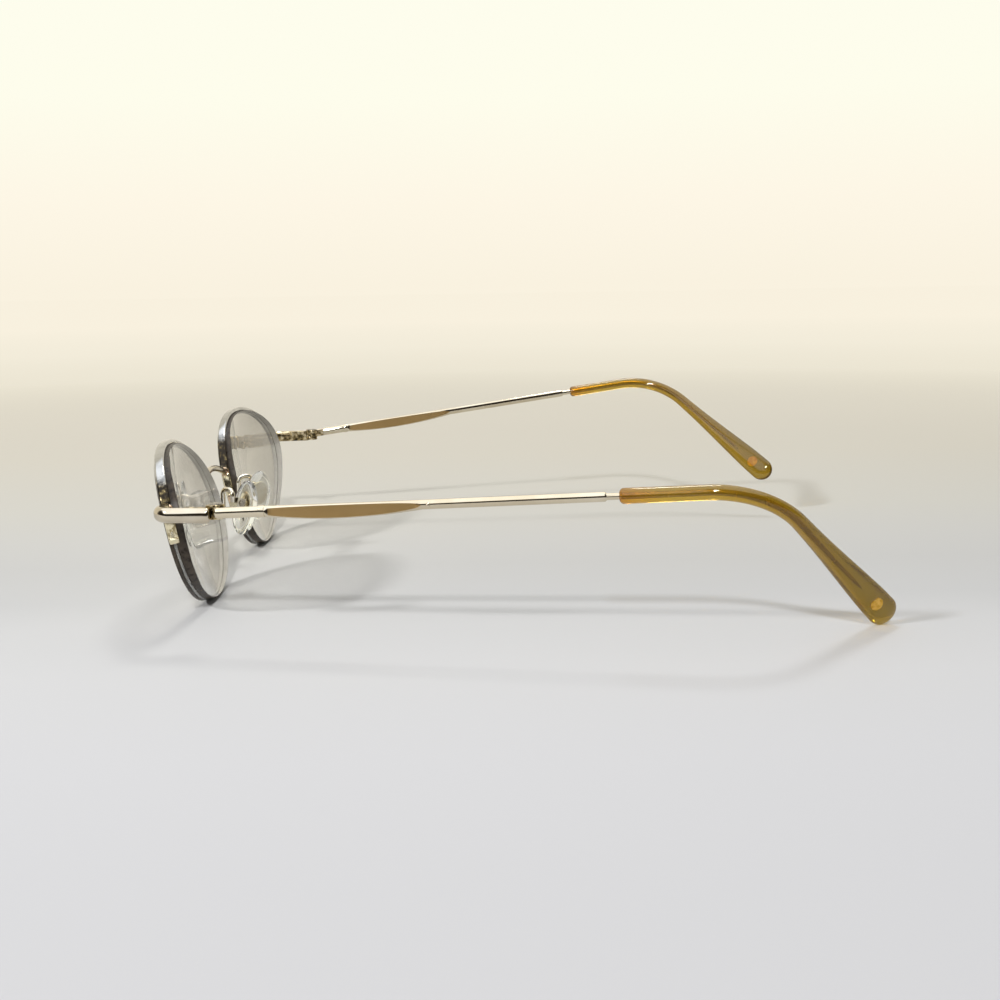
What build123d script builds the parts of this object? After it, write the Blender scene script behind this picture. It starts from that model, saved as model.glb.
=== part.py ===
from build123d import *
import os
from math import cos, hypot, radians, sin, sqrt

# Half-rim oval eyeglasses, all sizes in millimetres and degrees.
# X points to the wearer's left, Y from the lenses back along the temples, Z up.
# Everything is drawn for the left side and mirrored about X = 0 for the right.
# The glasses lie open on a flat surface, on both lenses and the left temple tip.

# lens outline, seen from the front, and how it sits
lens_half_width = 23.9
lens_half_height = 16.35
lens_top_share = 0.076
lens_nasal_share = 0.11
lens_turn = 9.7
lens_centre_x = 34.5
lens_centre_z = 16.3
lens_tilt = 12.2
lens_wrap = 4.1
outline_steps = 36

# lens surfaces and the groove round its edge
lens_front_radius = 111.0
lens_back_radius = 74.5
lens_centre_thickness = 2.2
groove_land = 0.75
groove_width = 0.7
groove_depth = 0.45
groove_centre = groove_land + groove_width / 2

# upper half-rim: a metal band with an inner channel, from the temple side over the top to the nose side
rim_from = -15.0
rim_to = 190.0
rim_gap = 0.05
rim_thickness = 0.9
rim_depth = 2.0
rim_foot_turn = 3.5
rim_foot_proud = 0.25
channel_depth = 0.4
seat_play = 0.05
liner_width = groove_width - 2 * seat_play
cord_width = 0.56
cord_proud = 0.1
cord_anchor = 9.0
cord_hole_radius = 0.27
cord_hole_turns = (5.0, 8.0)

# bridge bar between the two rims
bridge_turn = 155.5
bridge_height = 1.5
bridge_thickness = 1.3
bridge_rise = 2.2
bridge_bow = 1.2
bridge_round_share = 0.45

# temple line when open
hinge_x = 65.3
hinge_y = 14.2
hinge_z = 23.7
temple_splay = 9.0
left_pitch = 2.99
right_pitch = 7.4

# endpiece: the polished bar that turns the corner from rim to hinge
endpiece_turn = 9.0
endpiece_height = 2.85
endpiece_drop = 0.45
endpiece_thickness = 1.5
endpiece_edge = 0.72
endpiece_corner_y = 3.6
endpiece_bend = 2.4

# hinge: two knuckles on the front and one on the temple, round one screw
hinge_gap = 1.2
axis_inset = 2.35
knuckle_radius = 1.5
knuckle_height = 0.82
knuckle_play = 0.09
screw_radius = 0.7
screw_play = 0.05
screw_head_radius = 1.15
screw_head_height = 0.5
screw_head_sink = 0.35
screw_slot_width = 0.3
screw_slot_depth = 0.2
hinge_plate = 0.9
front_plate_length = 5.0
temple_plate_length = 2.6
front_plate_height = 1.8
temple_plate_height = 1.7
swing_play = 0.1

# temple bar: round at the hinge, a flat leaf, then a slender bar up to the tip
bar_height = 2.0
bar_thickness = 1.5
leaf_start = 10.0
leaf_middle = 23.0
leaf_end = 39.0
leaf_height = 2.75
leaf_drop = 0.45
leaf_thickness = 2.2
leaf_flat_thickness = 1.35
slender_height = 1.75
slender_thickness = 1.3
collar_length = 1.1
collar_proud = 0.12
bar_round_share = 0.45
bead_radius = 0.45
bead_past_leaf = 1.2
neck_length = 2.4
neck_width = 1.5
bar_length = 73.9
core_radius = 0.58
core_point = 2.2
core_point_share = 0.3
core_play = 0.03
core_overrun = 1.0

# temple tip: a moulded sleeve that bends down and inwards behind the ear
tip_straight = 25.3
tip_drop = 40.7
tip_angle = 59.8
tip_inward = 39.75
tip_bend_radius = 18.3
tip_twist = 32.0
tip_start_width = 2.9
tip_start_round = 1.0
tip_neck_width = 2.85
tip_paddle_width = 6.0
tip_paddle_thickness = 2.5
tip_end_radius = 3.2
core_short = 10.6
dot_radius = 1.25
dot_thickness = 0.3
dot_sink = 0.06
dot_back = 3.3
# along the tip, up to the centre of its rounded end: 0 is the start's width, 1 the neck's, 2 the paddle's,
# and the flat sides twist outwards as the paddle widens
tip_shares = (
    (0.05, 0.4), (0.12, 0.85), (0.25, 1.0), (0.36, 1.01), (0.44, 1.04), (0.52, 1.1), (0.6, 1.2), (0.68, 1.35),
    (0.77, 1.56), (0.86, 1.78), (0.94, 1.95), (1.0, 2.0),
)
start_cap_shares = (0.8, 0.6, 0.35)
end_cap_shares = (0.35, 0.6, 0.8, 0.93, 0.985)

# nose pad, its metal core, the clamp box that holds it and the wire arm
pad_x = 8.4
pad_y = 9.4
pad_z = 15.3
pad_splay = 35.0
pad_slope = 15.0
pad_length = 12.2
pad_width = 6.2
pad_thickness = 2.5
pad_face_round = 1.05
pad_back_round = 0.6
pad_up = 0.8
core_plate_length = 5.6
core_plate_width = 3.4
core_plate_thickness = 0.5
core_plate_depth = 0.6
lug_width = 1.1
lug_height = 1.5
box_gap = 0.35
box_play = 0.14
box_wall = 0.5
box_height = 2.2
box_depth = 2.4
pivot_depth = 1.0
pad_screw_radius = 0.42
pad_screw_play = 0.06
pad_head_radius = 0.75
pad_head_height = 0.35
arm_radius = 0.55
arm_turn = 176.0
arm_seat_share = 0.5
arm_back = 4.5
arm_top = 19.8
arm_bend = 1.35

# the middle of each lens plane, with the outline's own axes
lens_plane = Plane(
    origin=(lens_centre_x, 0, lens_centre_z),
    x_dir=(cos(radians(lens_wrap)), sin(radians(lens_wrap)), 0),
    z_dir=(
        sin(radians(lens_wrap)) * cos(radians(lens_tilt)),
        -cos(radians(lens_wrap)) * cos(radians(lens_tilt)),
        -sin(radians(lens_tilt)),
    ),
)
front_centre = lens_plane.offset(-lens_front_radius)
back_centre = lens_plane.offset(-lens_centre_thickness - lens_back_radius)


def edge(turn, grow):
    """Point of the lens outline at an angle round it, moved outwards by grow."""
    c, s = cos(radians(turn)), sin(radians(turn))
    u = lens_half_width * c * (1 + lens_top_share * s)
    v = lens_half_height * s * (1 - lens_nasal_share * c)
    du = lens_half_width * (lens_top_share * (c * c - s * s) - s)
    dv = lens_half_height * (lens_nasal_share * (s * s - c * c) + c)
    u += grow * dv / hypot(du, dv)
    v -= grow * du / hypot(du, dv)
    c, s = cos(radians(lens_turn)), sin(radians(lens_turn))
    return u * c - v * s, u * s + v * c


def edge_at(turn, grow, depth):
    """The same point in space, at a depth behind the front surface of the lens."""
    u, v = edge(turn, grow)
    sag = lens_front_radius - sqrt(lens_front_radius**2 - u * u - v * v)
    return lens_plane.from_local_coords(Vector(u, v, -depth - sag))


def band(inner, outer, near, far, start=None, end=None):
    """A band round the lens between two offsets and two depths, whole or from one angle to another."""
    steps = range(outline_steps)
    with BuildPart(mode=Mode.PRIVATE) as ring:
        with BuildSketch(lens_plane.offset(lens_half_height)):
            with BuildLine():
                Spline([edge(360 * step / outline_steps, outer) for step in steps], periodic=True)
            make_face()
            if inner is not None:
                with BuildLine():
                    Spline([edge(360 * step / outline_steps, inner) for step in steps], periodic=True)
                make_face(mode=Mode.SUBTRACT)
            if start is not None:
                turns = [start + (end - start) * step / outline_steps for step in range(outline_steps + 1)]
                reach = lens_half_width
                fan = [(0, 0)] + [edge(turn, reach) for turn in turns]
                Polygon(fan, align=None, mode=Mode.INTERSECT)
        extrude(amount=-3 * lens_half_height)
        with Locations(front_centre):
            Sphere(lens_front_radius - near, mode=Mode.INTERSECT)
            Sphere(lens_front_radius - far, mode=Mode.SUBTRACT)
    return ring.part


# hinge axes: x runs back along the open temple, y inwards, z up; the pin stands at x = 0, y = axis_inset
splay = radians(temple_splay)
hinge_plane = Plane(origin=(hinge_x, hinge_y, hinge_z), x_dir=(sin(splay), cos(splay), 0), z_dir=(0, 0, 1))
stack_height = 3 * knuckle_height + 2 * knuckle_play
knuckle_step = knuckle_height + knuckle_play
pieces = {}

# solids that other pieces are cut against
rim_body = band(None, rim_gap + rim_thickness, 0, 3 * rim_depth)
rim_front = groove_centre - rim_depth / 2
rim_back = groove_centre + rim_depth / 2
rim_room = band(None, rim_gap + rim_thickness, rim_front, rim_back)
rim_band = band(rim_gap, rim_gap + rim_thickness, rim_front, rim_back, rim_from, rim_to)
rim_feet = [
    band(rim_gap, rim_gap + rim_thickness + rim_foot_proud, rim_front, rim_back, start, start + rim_foot_turn)
    for start in (rim_from, rim_to - rim_foot_turn)
]
channel = band(0, rim_gap + channel_depth, groove_centre - liner_width / 2, groove_centre + liner_width / 2)
groove = band(-groove_depth, rim_thickness, groove_land, groove_land + groove_width)
liner_reach = (seat_play - groove_depth, rim_gap + channel_depth)
liner_depths = (groove_centre - liner_width / 2, groove_centre + liner_width / 2)
cord_reach = (seat_play - groove_depth, cord_proud)
cord_depths = (groove_centre - cord_width / 2, groove_centre + cord_width / 2)
cord_turns = [rim_from + turn for turn in cord_hole_turns] + [rim_to - turn for turn in cord_hole_turns]

with BuildPart() as rim:
    add(rim_band)
    add(rim_feet)
    add(channel, mode=Mode.SUBTRACT)
    for turn in cord_turns:
        outwards = edge_at(turn, rim_thickness, groove_centre) - edge_at(turn, 0, groove_centre)
        with Locations(Plane(origin=edge_at(turn, 0, groove_centre), z_dir=outwards)):
            Cylinder(cord_hole_radius, 6 * rim_thickness, mode=Mode.SUBTRACT)
pieces["left_rim"] = rim.part

with BuildPart() as rim_liner:
    add(band(*liner_reach, *liner_depths, rim_from + cord_anchor, rim_to - cord_anchor))
pieces["left_rim_liner"] = rim_liner.part

with BuildPart() as nylon_cord:
    add(band(*cord_reach, *cord_depths, rim_to - cord_anchor, 360 + rim_from + cord_anchor))
pieces["left_nylon_cord"] = nylon_cord.part

with BuildPart() as lens:
    with BuildSketch(lens_plane.offset(lens_half_height)):
        with BuildLine():
            Spline([edge(360 * step / outline_steps, 0) for step in range(outline_steps)], periodic=True)
        make_face()
    extrude(amount=-3 * lens_half_height)
    with Locations(front_centre):
        Sphere(lens_front_radius, mode=Mode.INTERSECT)
    with Locations(back_centre):
        Sphere(lens_back_radius, mode=Mode.SUBTRACT)
    add(groove, mode=Mode.SUBTRACT)
pieces["left_lens"] = lens.part

# bridge: one arched bar that ends on the nose side of both rims
bridge_end = edge_at(bridge_turn, rim_thickness / 2, groove_centre)
with BuildPart() as bridge:
    with BuildLine():
        bridge_arc = ThreePointArc(
            bridge_end,
            (0, bridge_end.Y - bridge_bow, bridge_end.Z + bridge_rise),
            (-bridge_end.X, bridge_end.Y, bridge_end.Z),
        )
    with BuildSketch(Plane(origin=bridge_arc @ 0, x_dir=(0, 0, 1), z_dir=bridge_arc % 0)):
        RectangleRounded(bridge_height, bridge_thickness, bridge_thickness * bridge_round_share)
    sweep()
    add(rim_body, mode=Mode.SUBTRACT)
    add(mirror(rim_body, about=Plane.YZ, mode=Mode.PRIVATE), mode=Mode.SUBTRACT)
pieces["bridge"] = bridge.part

# endpiece: from the rim outwards, round the corner and straight back to the hinge gap
endpiece_start = edge_at(endpiece_turn, rim_thickness / 2, groove_centre)
endpiece_z = hinge_z - endpiece_drop
endpiece_points = [
    Vector(endpiece_start.X, endpiece_start.Y, endpiece_z),
    Vector(hinge_x - (hinge_y - endpiece_corner_y) * sin(splay) / cos(splay), endpiece_corner_y, endpiece_z),
    hinge_plane.from_local_coords(Vector(-hinge_gap / 2, 0, -endpiece_drop)),
]
endpiece_way = endpiece_points[1] - endpiece_points[0]
endpiece_side = endpiece_way.cross(Vector(0, 0, 1))
with BuildPart() as endpiece:
    with BuildLine():
        FilletPolyline(*endpiece_points, radius=endpiece_bend)
    with BuildSketch(Plane(origin=endpiece_points[0], x_dir=endpiece_side, z_dir=endpiece_way)):
        RectangleRounded(endpiece_thickness, endpiece_height, endpiece_edge)
    sweep()
    add(rim_body, mode=Mode.SUBTRACT)
pieces["left_endpiece"] = endpiece.part

# front half of the hinge: a plate on the endpiece with the upper and lower knuckle
with BuildPart() as front_hinge:
    with Locations(hinge_plane):
        with Locations((-(hinge_gap + front_plate_length) / 2, (endpiece_thickness + hinge_plate) / 2, 0)):
            Box(front_plate_length, hinge_plate, front_plate_height)
        for level in (-knuckle_step, knuckle_step):
            with Locations((0, axis_inset, level)):
                Cylinder(knuckle_radius, knuckle_height)
            with Locations((-knuckle_radius / 2, (axis_inset + endpiece_thickness / 2) / 2, level)):
                Box(knuckle_radius, axis_inset - endpiece_thickness / 2, knuckle_height)
        with Locations((0, axis_inset, 0)):
            Cylinder(knuckle_radius + swing_play, knuckle_height + 2 * knuckle_play, mode=Mode.SUBTRACT)
            Cylinder(screw_radius, stack_height, mode=Mode.SUBTRACT)
        with Locations((0, axis_inset, stack_height / 2 - screw_head_sink / 2)):
            Cylinder(screw_head_radius + seat_play, screw_head_sink, mode=Mode.SUBTRACT)
pieces["left_front_hinge"] = front_hinge.part

with BuildPart() as hinge_screw:
    with Locations(hinge_plane):
        with Locations((0, axis_inset, -screw_head_sink / 2)):
            Cylinder(screw_radius, stack_height - screw_head_sink)
        with Locations((0, axis_inset, stack_height / 2 - screw_head_sink + screw_head_height / 2)):
            Cylinder(screw_head_radius, screw_head_height)
        with Locations((0, axis_inset, stack_height / 2 - screw_head_sink + screw_head_height)):
            Box(2 * knuckle_radius, screw_slot_width, 2 * screw_slot_depth, mode=Mode.SUBTRACT)
pieces["left_hinge_screw"] = hinge_screw.part

# nose pad axes: x across the pad, y up its length, z towards the nose
pad_normal = Vector(
    -cos(radians(pad_splay)) * cos(radians(pad_slope)),
    sin(radians(pad_splay)) * cos(radians(pad_slope)),
    -sin(radians(pad_slope)),
)
pad_across = Vector(-sin(radians(pad_splay)), -cos(radians(pad_splay)), 0)
pad_plane = Plane(origin=(pad_x, pad_y, pad_z), x_dir=pad_across, z_dir=pad_normal)
box_mouth = -pad_thickness / 2 - box_gap
pivot_level = box_mouth - pivot_depth
box_width = lug_width + 2 * (box_play + box_wall)

with BuildPart() as pad_core:
    with BuildSketch(pad_plane.offset(core_plate_depth - pad_thickness / 2)):
        with Locations((0, pad_up)):
            Ellipse(core_plate_width / 2, core_plate_length / 2)
    extrude(amount=core_plate_thickness)
    with Locations(pad_plane):
        with Locations((0, pad_up, (pivot_level - pad_thickness / 2 + core_plate_depth) / 2)):
            Box(lug_width, lug_height, core_plate_depth - pad_thickness / 2 - pivot_level)
        with Locations(Location((0, pad_up, pivot_level), (0, 90, 0))):
            Cylinder(lug_height / 2, lug_width)
            Cylinder(pad_screw_radius + pad_screw_play, lug_width, mode=Mode.SUBTRACT)
pieces["left_pad_core"] = pad_core.part

with BuildPart() as nose_pad:
    with BuildSketch(pad_plane.offset(-pad_thickness / 2)):
        Ellipse(pad_width / 2, pad_length / 2)
    extrude(amount=pad_thickness)
    rims = nose_pad.edges().filter_by(GeomType.ELLIPSE)
    fillet(rims.sort_by(Axis((0, 0, 0), pad_normal))[-1], pad_face_round)
    fillet(rims.sort_by(Axis((0, 0, 0), pad_normal))[0], pad_back_round)
    add(pad_core.part, mode=Mode.SUBTRACT)
pieces["left_nose_pad"] = nose_pad.part

with BuildPart() as pad_box:
    with Locations(pad_plane):
        with Locations((0, pad_up, box_mouth - box_depth / 2)):
            Box(box_width, box_height, box_depth)
        with Locations((0, pad_up, box_mouth - (box_depth - box_wall) / 2)):
            Box(lug_width + 2 * box_play, box_height, box_depth - box_wall, mode=Mode.SUBTRACT)
        with Locations(Location((0, pad_up, pivot_level), (0, 90, 0))):
            Cylinder(pad_screw_radius, box_width, mode=Mode.SUBTRACT)
pieces["left_pad_box"] = pad_box.part

with BuildPart() as pad_screw:
    with Locations(pad_plane):
        with Locations(Location((0, pad_up, pivot_level), (0, 90, 0))):
            Cylinder(pad_screw_radius, box_width)
            with Locations((0, 0, -(box_width + pad_head_height) / 2)):
                Cylinder(pad_head_radius, pad_head_height)
pieces["left_pad_screw"] = pad_screw.part

# pad arm: soldered to the nose side of the rim, back past the lens edge, up and over, down into the box
arm_foot = edge_at(arm_turn, rim_gap + rim_thickness + arm_radius * arm_seat_share, groove_centre)
arm_end = pad_plane.from_local_coords(Vector(0, pad_up, box_mouth - box_depth - arm_radius * arm_seat_share))
arm_points = [
    arm_foot,
    Vector(arm_foot.X, arm_back, arm_foot.Z),
    Vector(arm_foot.X, arm_back, arm_top),
    Vector(arm_end.X, arm_end.Y, arm_top),
    arm_end,
]
with BuildPart() as pad_arm:
    with BuildLine():
        FilletPolyline(*arm_points, radius=arm_bend)
    with BuildSketch(Plane(origin=arm_foot, z_dir=arm_points[1] - arm_points[0])):
        Circle(arm_radius)
    sweep()
    add(rim_room, mode=Mode.SUBTRACT)
    add(pad_box.part, mode=Mode.SUBTRACT)
pieces["left_pad_arm"] = pad_arm.part

for name in [name for name in pieces if name.startswith("left_")]:
    pieces[name.replace("left_", "right_")] = mirror(pieces[name], about=Plane.YZ)


def facing(way, side, share):
    """The side direction of the tip, twisted about its line by a share of the full twist."""
    turn = radians(tip_twist) * share
    return side * cos(turn) - way.cross(side) * sin(turn)


# temples: the same bar and tip on both sides, each at the pitch it has in its own hinge
for side, pitch in (("left", radians(left_pitch)), ("right", radians(right_pitch))):
    temple_plane = Plane(
        origin=hinge_plane.origin,
        x_dir=(sin(splay) * cos(pitch), cos(splay) * cos(pitch), sin(pitch)),
        z_dir=(-sin(splay) * sin(pitch), -cos(splay) * sin(pitch), cos(pitch)),
    )
    bar_sections = {
        hinge_gap / 2: (bar_thickness, bar_height, 0),
        leaf_start: (bar_thickness, bar_height, 0),
        leaf_middle: (leaf_thickness, leaf_height, leaf_drop),
        leaf_end: (slender_thickness, slender_height, 0),
        bar_length - neck_length: (slender_thickness, slender_height, 0),
        bar_length: (neck_width, neck_width, 0),
    }
    # the tip's centre line: straight on, one bend, then down and inwards
    down = Vector(0, sin(radians(tip_inward)), -cos(radians(tip_inward)))
    fall = Vector(1, 0, 0) * cos(radians(tip_angle)) + down * sin(radians(tip_angle))
    tip_corner = Vector(bar_length + tip_straight, 0, 0)
    tip_route = [Vector(bar_length, 0, 0), tip_corner, tip_corner + fall * tip_drop]
    core_route = [Vector(bar_length, 0, 0), tip_corner, tip_corner + fall * (tip_drop - core_short)]
    tip_route = [temple_plane.from_local_coords(point) for point in tip_route]
    core_route = [temple_plane.from_local_coords(point) for point in core_route]
    run, drop = tip_route[1] - tip_route[0], tip_route[2] - tip_route[1]
    outwards = drop.cross(run).normalized()

    hole_start = core_route[0] - run.normalized() * core_overrun
    with BuildPart() as core_hole:
        with BuildLine():
            FilletPolyline(hole_start, *core_route[1:], radius=tip_bend_radius)
        with BuildSketch(Plane(origin=hole_start, z_dir=run)):
            Circle(core_radius + core_play)
        sweep()
        with BuildSketch(Plane(origin=core_route[2], z_dir=drop)):
            Circle(core_radius + core_play)
        hole_end = core_route[2] + drop.normalized() * (core_point + core_play)
        with BuildSketch(Plane(origin=hole_end, z_dir=drop)):
            Circle(core_radius * core_point_share + core_play)
        loft()

    with BuildPart() as temple:
        stations = list(bar_sections)
        for near, far in ((0, 2), (1, 4), (3, 5), (4, 6)):
            for station in stations[near:far]:
                thick, high, lowered = bar_sections[station]
                start = temple_plane.from_local_coords(Vector(station, 0, -lowered))
                with BuildSketch(Plane(origin=start, x_dir=temple_plane.y_dir, z_dir=temple_plane.x_dir)):
                    RectangleRounded(thick, high, thick * bar_round_share)
            loft()
        start = temple_plane.from_local_coords(Vector(leaf_start - collar_length, 0, 0))
        with BuildSketch(Plane(origin=start, x_dir=temple_plane.y_dir, z_dir=temple_plane.x_dir)):
            collar = (bar_thickness + 2 * collar_proud, bar_height + 2 * collar_proud)
            RectangleRounded(*collar, bar_thickness * bar_round_share)
        extrude(amount=collar_length)
        with Locations(temple_plane):
            with Locations(
                ((leaf_start + leaf_end) / 2, (leaf_flat_thickness + leaf_thickness) / 2, 0),
                ((leaf_start + leaf_end) / 2, -(leaf_flat_thickness + leaf_thickness) / 2, 0),
            ):
                Box(leaf_end - leaf_start, leaf_thickness, 2 * leaf_height, mode=Mode.SUBTRACT)
            with Locations((leaf_end + bead_past_leaf, -slender_thickness / 2, 0)):
                Sphere(bead_radius)
        with BuildLine():
            FilletPolyline(*core_route, radius=tip_bend_radius)
        with BuildSketch(Plane(origin=core_route[0], z_dir=run)):
            Circle(core_radius)
        sweep()
        with BuildSketch(Plane(origin=core_route[2], z_dir=drop)):
            Circle(core_radius)
        with BuildSketch(Plane(origin=core_route[2] + drop.normalized() * core_point, z_dir=drop)):
            Circle(core_radius * core_point_share)
        loft()

    with BuildPart() as temple_tip:
        with BuildLine():
            line = FilletPolyline(*tip_route, radius=tip_bend_radius)
        sections = []
        for cap in start_cap_shares:
            share, size = tip_start_round * (start_cap_shares[0] - cap) / line.length, sqrt(1 - cap * cap)
            sections.append((line @ share, line % share, tip_start_width * size, tip_start_width * size, 0))
        for share, swell in tip_shares:
            wide = tip_start_width + (tip_neck_width - tip_start_width) * min(swell, 1)
            thick = wide + (tip_paddle_thickness - tip_neck_width) * max(swell - 1, 0)
            wide += (tip_paddle_width - tip_neck_width) * max(swell - 1, 0)
            sections.append((line @ share, line % share, thick, wide, max(swell - 1, 0)))
        for cap in end_cap_shares:
            size = sqrt(1 - cap * cap)
            place = line @ 1 + (line % 1) * tip_end_radius * cap
            sections.append((place, line % 1, tip_paddle_thickness * size, tip_paddle_width * size, 1))
        for place, way, thick, wide, turned in sections:
            across = way.cross(facing(way, outwards, turned))
            with BuildSketch(Plane(origin=place, x_dir=across, z_dir=way)):
                Ellipse(wide / 2, thick / 2)
        loft()
        add(core_hole.part, mode=Mode.SUBTRACT)
        dot_side = facing(line % 1, outwards, 1)
        dot_plane = Plane(origin=tip_route[2] - drop.normalized() * dot_back, z_dir=dot_side)
        with Locations(dot_plane.offset(tip_paddle_thickness / 2 - dot_sink)):
            Cylinder(
                dot_radius, dot_thickness, align=(Align.CENTER, Align.CENTER, Align.MAX), mode=Mode.SUBTRACT
            )
            Cylinder(
                dot_radius, dot_thickness, align=(Align.CENTER, Align.CENTER, Align.MIN), mode=Mode.SUBTRACT
            )

    with BuildPart() as tip_dot:
        with Locations(dot_plane.offset(tip_paddle_thickness / 2 - dot_sink)):
            Cylinder(dot_radius, dot_thickness, align=(Align.CENTER, Align.CENTER, Align.MAX))

    # hinge half on the temple: a plate along the bar and the middle knuckle
    with BuildPart() as temple_hinge:
        with Locations(temple_plane):
            with Locations(((hinge_gap + temple_plate_length) / 2, (bar_thickness + hinge_plate) / 2, 0)):
                Box(temple_plate_length, hinge_plate, temple_plate_height)
        with Locations(hinge_plane):
            for level in (-knuckle_step, knuckle_step):
                with Locations((0, axis_inset, level)):
                    Cylinder(
                        knuckle_radius + swing_play, knuckle_height + 2 * knuckle_play, mode=Mode.SUBTRACT
                    )
            with Locations((0, axis_inset, 0)):
                Cylinder(knuckle_radius, knuckle_height)
            web = axis_inset - bar_thickness / 2 - hinge_plate / 2
            with Locations((knuckle_radius / 2, axis_inset - web / 2, 0)):
                Box(knuckle_radius, web, knuckle_height)
            with Locations((0, axis_inset, 0)):
                Cylinder(screw_radius + screw_play, knuckle_height, mode=Mode.SUBTRACT)

    made = {"temple": temple, "temple_tip": temple_tip, "tip_dot": tip_dot, "temple_hinge": temple_hinge}
    for name, piece in made.items():
        pieces[f"{side}_{name}"] = piece.part if side == "left" else mirror(piece.part, about=Plane.YZ)

# the origin: on the flat surface, under the middle of the whole
boxes = [piece.bounding_box() for piece in pieces.values()]
middle = (min(box.min.Y for box in boxes) + max(box.max.Y for box in boxes)) / 2
floor = min(box.min.Z for box in boxes)
os.makedirs("parts", exist_ok=True)
for name, piece in pieces.items():
    seated = piece.moved(Location((0, -middle, -floor)))
    seated.label = name
    export_step(seated, f"parts/{name}.step")

pin = hinge_plane.from_local_coords(Vector(0, axis_inset, 0))
pivot = pad_plane.from_local_coords(Vector(0, pad_up, pivot_level))
print("hinge pin", pin - Vector(0, middle, floor))
print("pad pivot", pivot - Vector(0, middle, floor), "along", pad_across)
print("moved back by", middle, "and down by", floor)
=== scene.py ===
from math import acos, cos, hypot, pi, radians, sin, sqrt

import bmesh
import bpy
from mathutils import Matrix, Vector


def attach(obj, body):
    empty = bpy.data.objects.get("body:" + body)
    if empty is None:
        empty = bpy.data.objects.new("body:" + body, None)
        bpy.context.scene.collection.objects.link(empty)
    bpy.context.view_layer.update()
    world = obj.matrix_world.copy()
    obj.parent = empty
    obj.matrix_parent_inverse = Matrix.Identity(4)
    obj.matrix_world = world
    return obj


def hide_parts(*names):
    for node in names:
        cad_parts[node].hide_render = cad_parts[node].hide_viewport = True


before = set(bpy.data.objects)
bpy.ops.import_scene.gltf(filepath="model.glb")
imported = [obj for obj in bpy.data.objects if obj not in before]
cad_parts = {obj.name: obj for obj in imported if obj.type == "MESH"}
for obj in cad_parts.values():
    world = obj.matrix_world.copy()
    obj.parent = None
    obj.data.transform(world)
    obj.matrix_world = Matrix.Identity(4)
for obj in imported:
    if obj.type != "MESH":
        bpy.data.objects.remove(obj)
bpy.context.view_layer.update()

# Sizes in millimetres and degrees, as in the CAD source; every mesh is written in metres.
MM = 0.001
MERGE = 1e-7
MOVED_BACK = 69.40602
MOVED_DOWN = -0.02733

LENS_HALF_WIDTH, LENS_HALF_HEIGHT = 23.9, 16.35
LENS_TOP_SHARE, LENS_NASAL_SHARE, LENS_TURN = 0.076, 0.11, 9.7
LENS_CENTRE = Vector((34.5, 0, 16.3))
LENS_TILT, LENS_WRAP = radians(12.2), radians(4.1)
FRONT_RADIUS, BACK_RADIUS, CENTRE_THICKNESS = 111.0, 74.5, 2.2
GROOVE_LAND, GROOVE_WIDTH, GROOVE_DEPTH = 0.75, 0.7, 0.45
GROOVE_CENTRE = GROOVE_LAND + GROOVE_WIDTH / 2

RIM_FROM, RIM_TO, RIM_GAP, RIM_THICKNESS, RIM_DEPTH = -15.0, 190.0, 0.05, 0.9, 2.0
FOOT_TURN, FOOT_PROUD = 3.5, 0.25
CHANNEL_DEPTH, CHANNEL_HALF = 0.4, 0.3
CORD_HOLE_TURNS = (5.0, 8.0)
CORD_RADIUS = 0.25

HINGE = Vector((65.3, 14.2, 23.7))
SPLAY = radians(9.0)
PITCH = {"left": radians(2.99), "right": radians(7.4)}
BAR_LENGTH = 73.9
TIP_STRAIGHT, TIP_DROP, TIP_BEND = 25.3, 40.7, 18.3
TIP_ANGLE, TIP_INWARD, TIP_TWIST = radians(59.8), radians(39.75), radians(32.0)


# ---------- shapes ----------


def placed(point):
    """A point of the CAD source's drawing frame, in metres in the shared frame."""
    return Vector((point[0], point[1] - MOVED_BACK, point[2] - MOVED_DOWN)) * MM


lens_x = Vector((cos(LENS_WRAP), sin(LENS_WRAP), 0))
lens_z = Vector((
    sin(LENS_WRAP) * cos(LENS_TILT), -cos(LENS_WRAP) * cos(LENS_TILT), -sin(LENS_TILT)))
lens_y = lens_z.cross(lens_x)


def edge(turn, grow):
    """Point of the lens outline at an angle round it, moved outwards by grow."""
    c, s = cos(radians(turn)), sin(radians(turn))
    u = LENS_HALF_WIDTH * c * (1 + LENS_TOP_SHARE * s)
    v = LENS_HALF_HEIGHT * s * (1 - LENS_NASAL_SHARE * c)
    du = LENS_HALF_WIDTH * (LENS_TOP_SHARE * (c * c - s * s) - s)
    dv = LENS_HALF_HEIGHT * (LENS_NASAL_SHARE * (s * s - c * c) + c)
    u += grow * dv / hypot(du, dv)
    v -= grow * du / hypot(du, dv)
    c, s = cos(radians(LENS_TURN)), sin(radians(LENS_TURN))
    return u * c - v * s, u * s + v * c


def front_sag(u, v):
    return FRONT_RADIUS - sqrt(FRONT_RADIUS**2 - u * u - v * v)


def back_sag(u, v):
    return CENTRE_THICKNESS + BACK_RADIUS - sqrt(BACK_RADIUS**2 - u * u - v * v)


def lens_place(u, v, depth):
    return placed(LENS_CENTRE + lens_x * u + lens_y * v - lens_z * depth)


def edge_drawn(turn, grow, depth):
    """The outline's point in the drawing frame, at a depth behind the front surface of the lens."""
    u, v = edge(turn, grow)
    return LENS_CENTRE + lens_x * u + lens_y * v - lens_z * (depth + front_sag(u, v))


def edge_at(turn, grow, depth):
    """The same point in metres in the shared frame."""
    return placed(edge_drawn(turn, grow, depth))


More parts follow.
